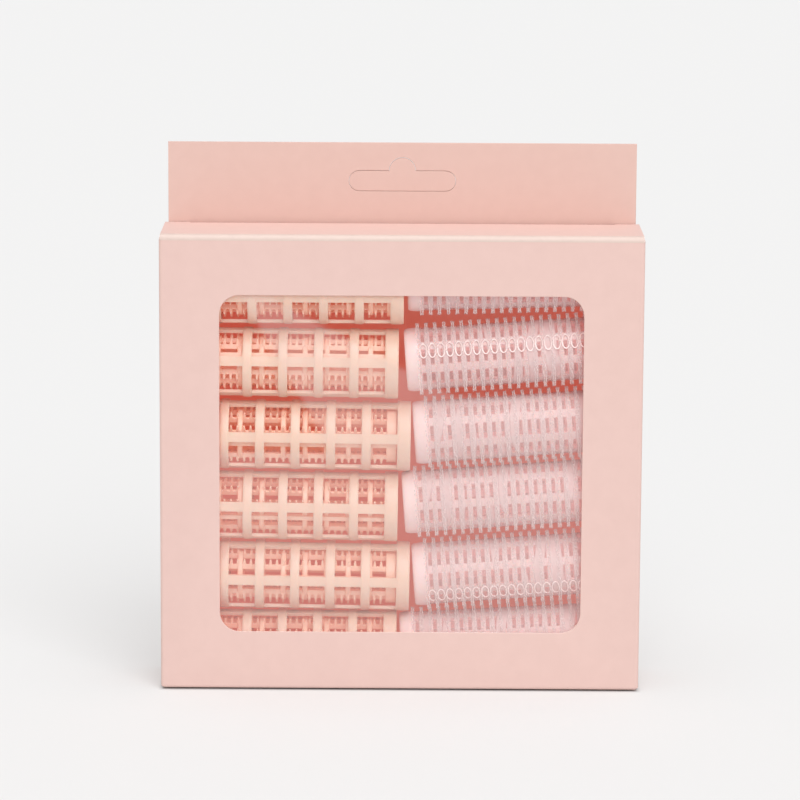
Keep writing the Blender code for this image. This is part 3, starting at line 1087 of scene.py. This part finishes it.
def hooks_mesh():
    """Columns of fine hooks standing on the tape, between the slots of the core."""
    rng = np.random.default_rng(7)
    strands = hook_strands()
    columns = GRIP_SLOTS + 1
    pieces = []
    for column in range(columns):
        x = (column - (columns - 1) / 2) * GRIP_SLOT_PITCH
        for step in range(HOOK_STEPS):
            for pair in range(2):
                verts, faces = strands[(step + 2 * pair + column) % 4]
                stray = rng.uniform(-HOOK_TURN_STRAY, HOOK_TURN_STRAY)
                turn = 2 * math.pi * (step + 0.5 * pair + stray) / HOOK_STEPS
                offset = x + (pair - 0.5) * HOOK_SPACING + rng.uniform(-1, 1) * HOOK_STRAY
                radii = TAPE_RADIUS + verts[:, 2] * rng.uniform(HOOK_SHORTEST, 1.0)
                turns = turn + verts[:, 1] / TAPE_RADIUS
                pieces.append((around_axis(offset + verts[:, 0], radii, turns), faces))
    hooks = joined("hooks", pieces, [HOOKS])
    hooks.data.shade_smooth()
    return hooks


def self_grip_rollers():
    """Six slotted cores in hook tape, each turned as it lies in its row."""
    length = grip_length()
    core = grip_core_mesh(length)
    tape = tape_mesh(length)
    hooks = hooks_mesh()
    seam = seam_mesh(length - 2 * GRIP_RIM)
    for row in range(ROWS):
        number = row + 1
        joint = JOINTS[f"grip_{number}_spin"]
        body = f"grip_roller_{number}"
        for name, source, turn, slot, node in (
                ("slotted_core", core, GRIP_TURN[row], "pink_plastic", "grip_core"),
                ("tape_backing", tape, GRIP_TURN[row], "hook_tape", "hook_sleeve"),
                ("tape_hooks", hooks, GRIP_TURN[row], "hook_tape", None),
                ("tape_seam", seam, SEAM_TURN[row], "hook_tape", None)):
            piece = copy_at(f"{name}_{number}", source.data, on_axis(joint, turn))
            if node:
                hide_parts(f"{node}_{number}")
            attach(piece, body)
    for source in (core, tape, hooks, seam):
        bpy.data.objects.remove(source, do_unlink=True)


# ---------------------------------------------------------------- studio

def floor_material():
    """A pale matt floor that glows evenly a little, like a backlit sweep, with its emission faded out across
    the carton's foot and beneath it as painted shadow.
    """
    material, tree, shader = shader_nodes("studio_floor")
    set_inputs(shader, {
        "Base Color": (0.60, 0.60, 0.60, 1.0),
        "Roughness": 0.9,
        "Specular IOR Level": 0.1,
        "Emission Color": PALE,
    })
    axes = object_axes(tree)
    # Painted shadow: no emission under the carton, rising to full across its rounded foot.
    beyond = []
    for axis, half in (("X", WIDTH / 2), ("Y", DEPTH / 2)):
        distance = tree.nodes.new("ShaderNodeMath")
        distance.operation = "ABSOLUTE"
        tree.links.new(axes[axis], distance.inputs[0])
        beyond.append(map_range(tree, distance.outputs["Value"],
                                (half - FOOT_ROUND, half + FOOT_ROUND), (0.0, FLOOR_LIFT)))
    tree.links.new(combined(tree, "MAXIMUM", *beyond), shader.inputs["Emission Strength"])
    return material


def studio_floor():
    """A seamless floor just under the carton."""
    half = FLOOR_HALF
    corners = [(-half, -half, 0), (half, -half, 0), (half, half, 0), (-half, half, 0)]
    floor = new_object("floor", mesh_from("floor", corners, [(0, 1, 2, 3)]), [floor_material()])
    floor.location = (0, 0, -FLOOR_DROP)


def studio_world():
    """Soft light from all round, which the camera sees as bright as the floor."""
    world = bpy.data.worlds.new("studio")
    world.use_nodes = True
    tree = world.node_tree
    background = tree.nodes["Background"]
    background.inputs["Color"].default_value = PALE
    path = tree.nodes.new("ShaderNodeLightPath")
    strength = map_range(tree, path.outputs["Is Camera Ray"], end=WORLD_STRENGTHS)
    tree.links.new(strength, background.inputs["Strength"])
    return world


def sun(name, elevation, azimuth, strength, spread):
    """A soft sun that shines from an elevation and an azimuth, which is 0 at -Y."""
    data = bpy.data.lights.new(name, "SUN")
    data.energy = strength
    data.angle = math.radians(spread)
    high, wide = math.radians(elevation), math.radians(azimuth)
    towards = Vector((math.cos(high) * math.sin(wide), -math.cos(high) * math.cos(wide), math.sin(high)))
    light = link(bpy.data.objects.new(name, data))
    light.rotation_euler = towards.to_track_quat("Z", "Y").to_euler()


def camera():
    """The camera at the photo's angle."""
    data = bpy.data.cameras.new("camera")
    data.lens = CAMERA_LENS
    data.clip_end = CAMERA_REACH
    view = link(bpy.data.objects.new("camera", data))
    look = Matrix.Rotation(math.radians(90 - CAMERA_PITCH), 4, "X")
    roll = Matrix.Rotation(math.radians(CAMERA_ROLL), 4, "Z")
    view.matrix_world = Matrix.Translation(CAMERA_PLACE) @ look @ roll
    return view


def studio():
    """Floor, soft light and camera."""
    scene = bpy.context.scene
    scene.view_settings.view_transform = "Standard"
    scene.view_settings.look = "None"
    scene.world = studio_world()
    studio_floor()
    for settings in SUNS:
        sun(*settings)
    scene.camera = camera()


carton_sleeve()
carton_lid()
dust_flap(-1, "dust_flap_left", "dust_left")
dust_flap(1, "dust_flap_right", "dust_right")
hang_tab()
base_panel()
window_film()
two_layer_rollers()
self_grip_rollers()
studio()
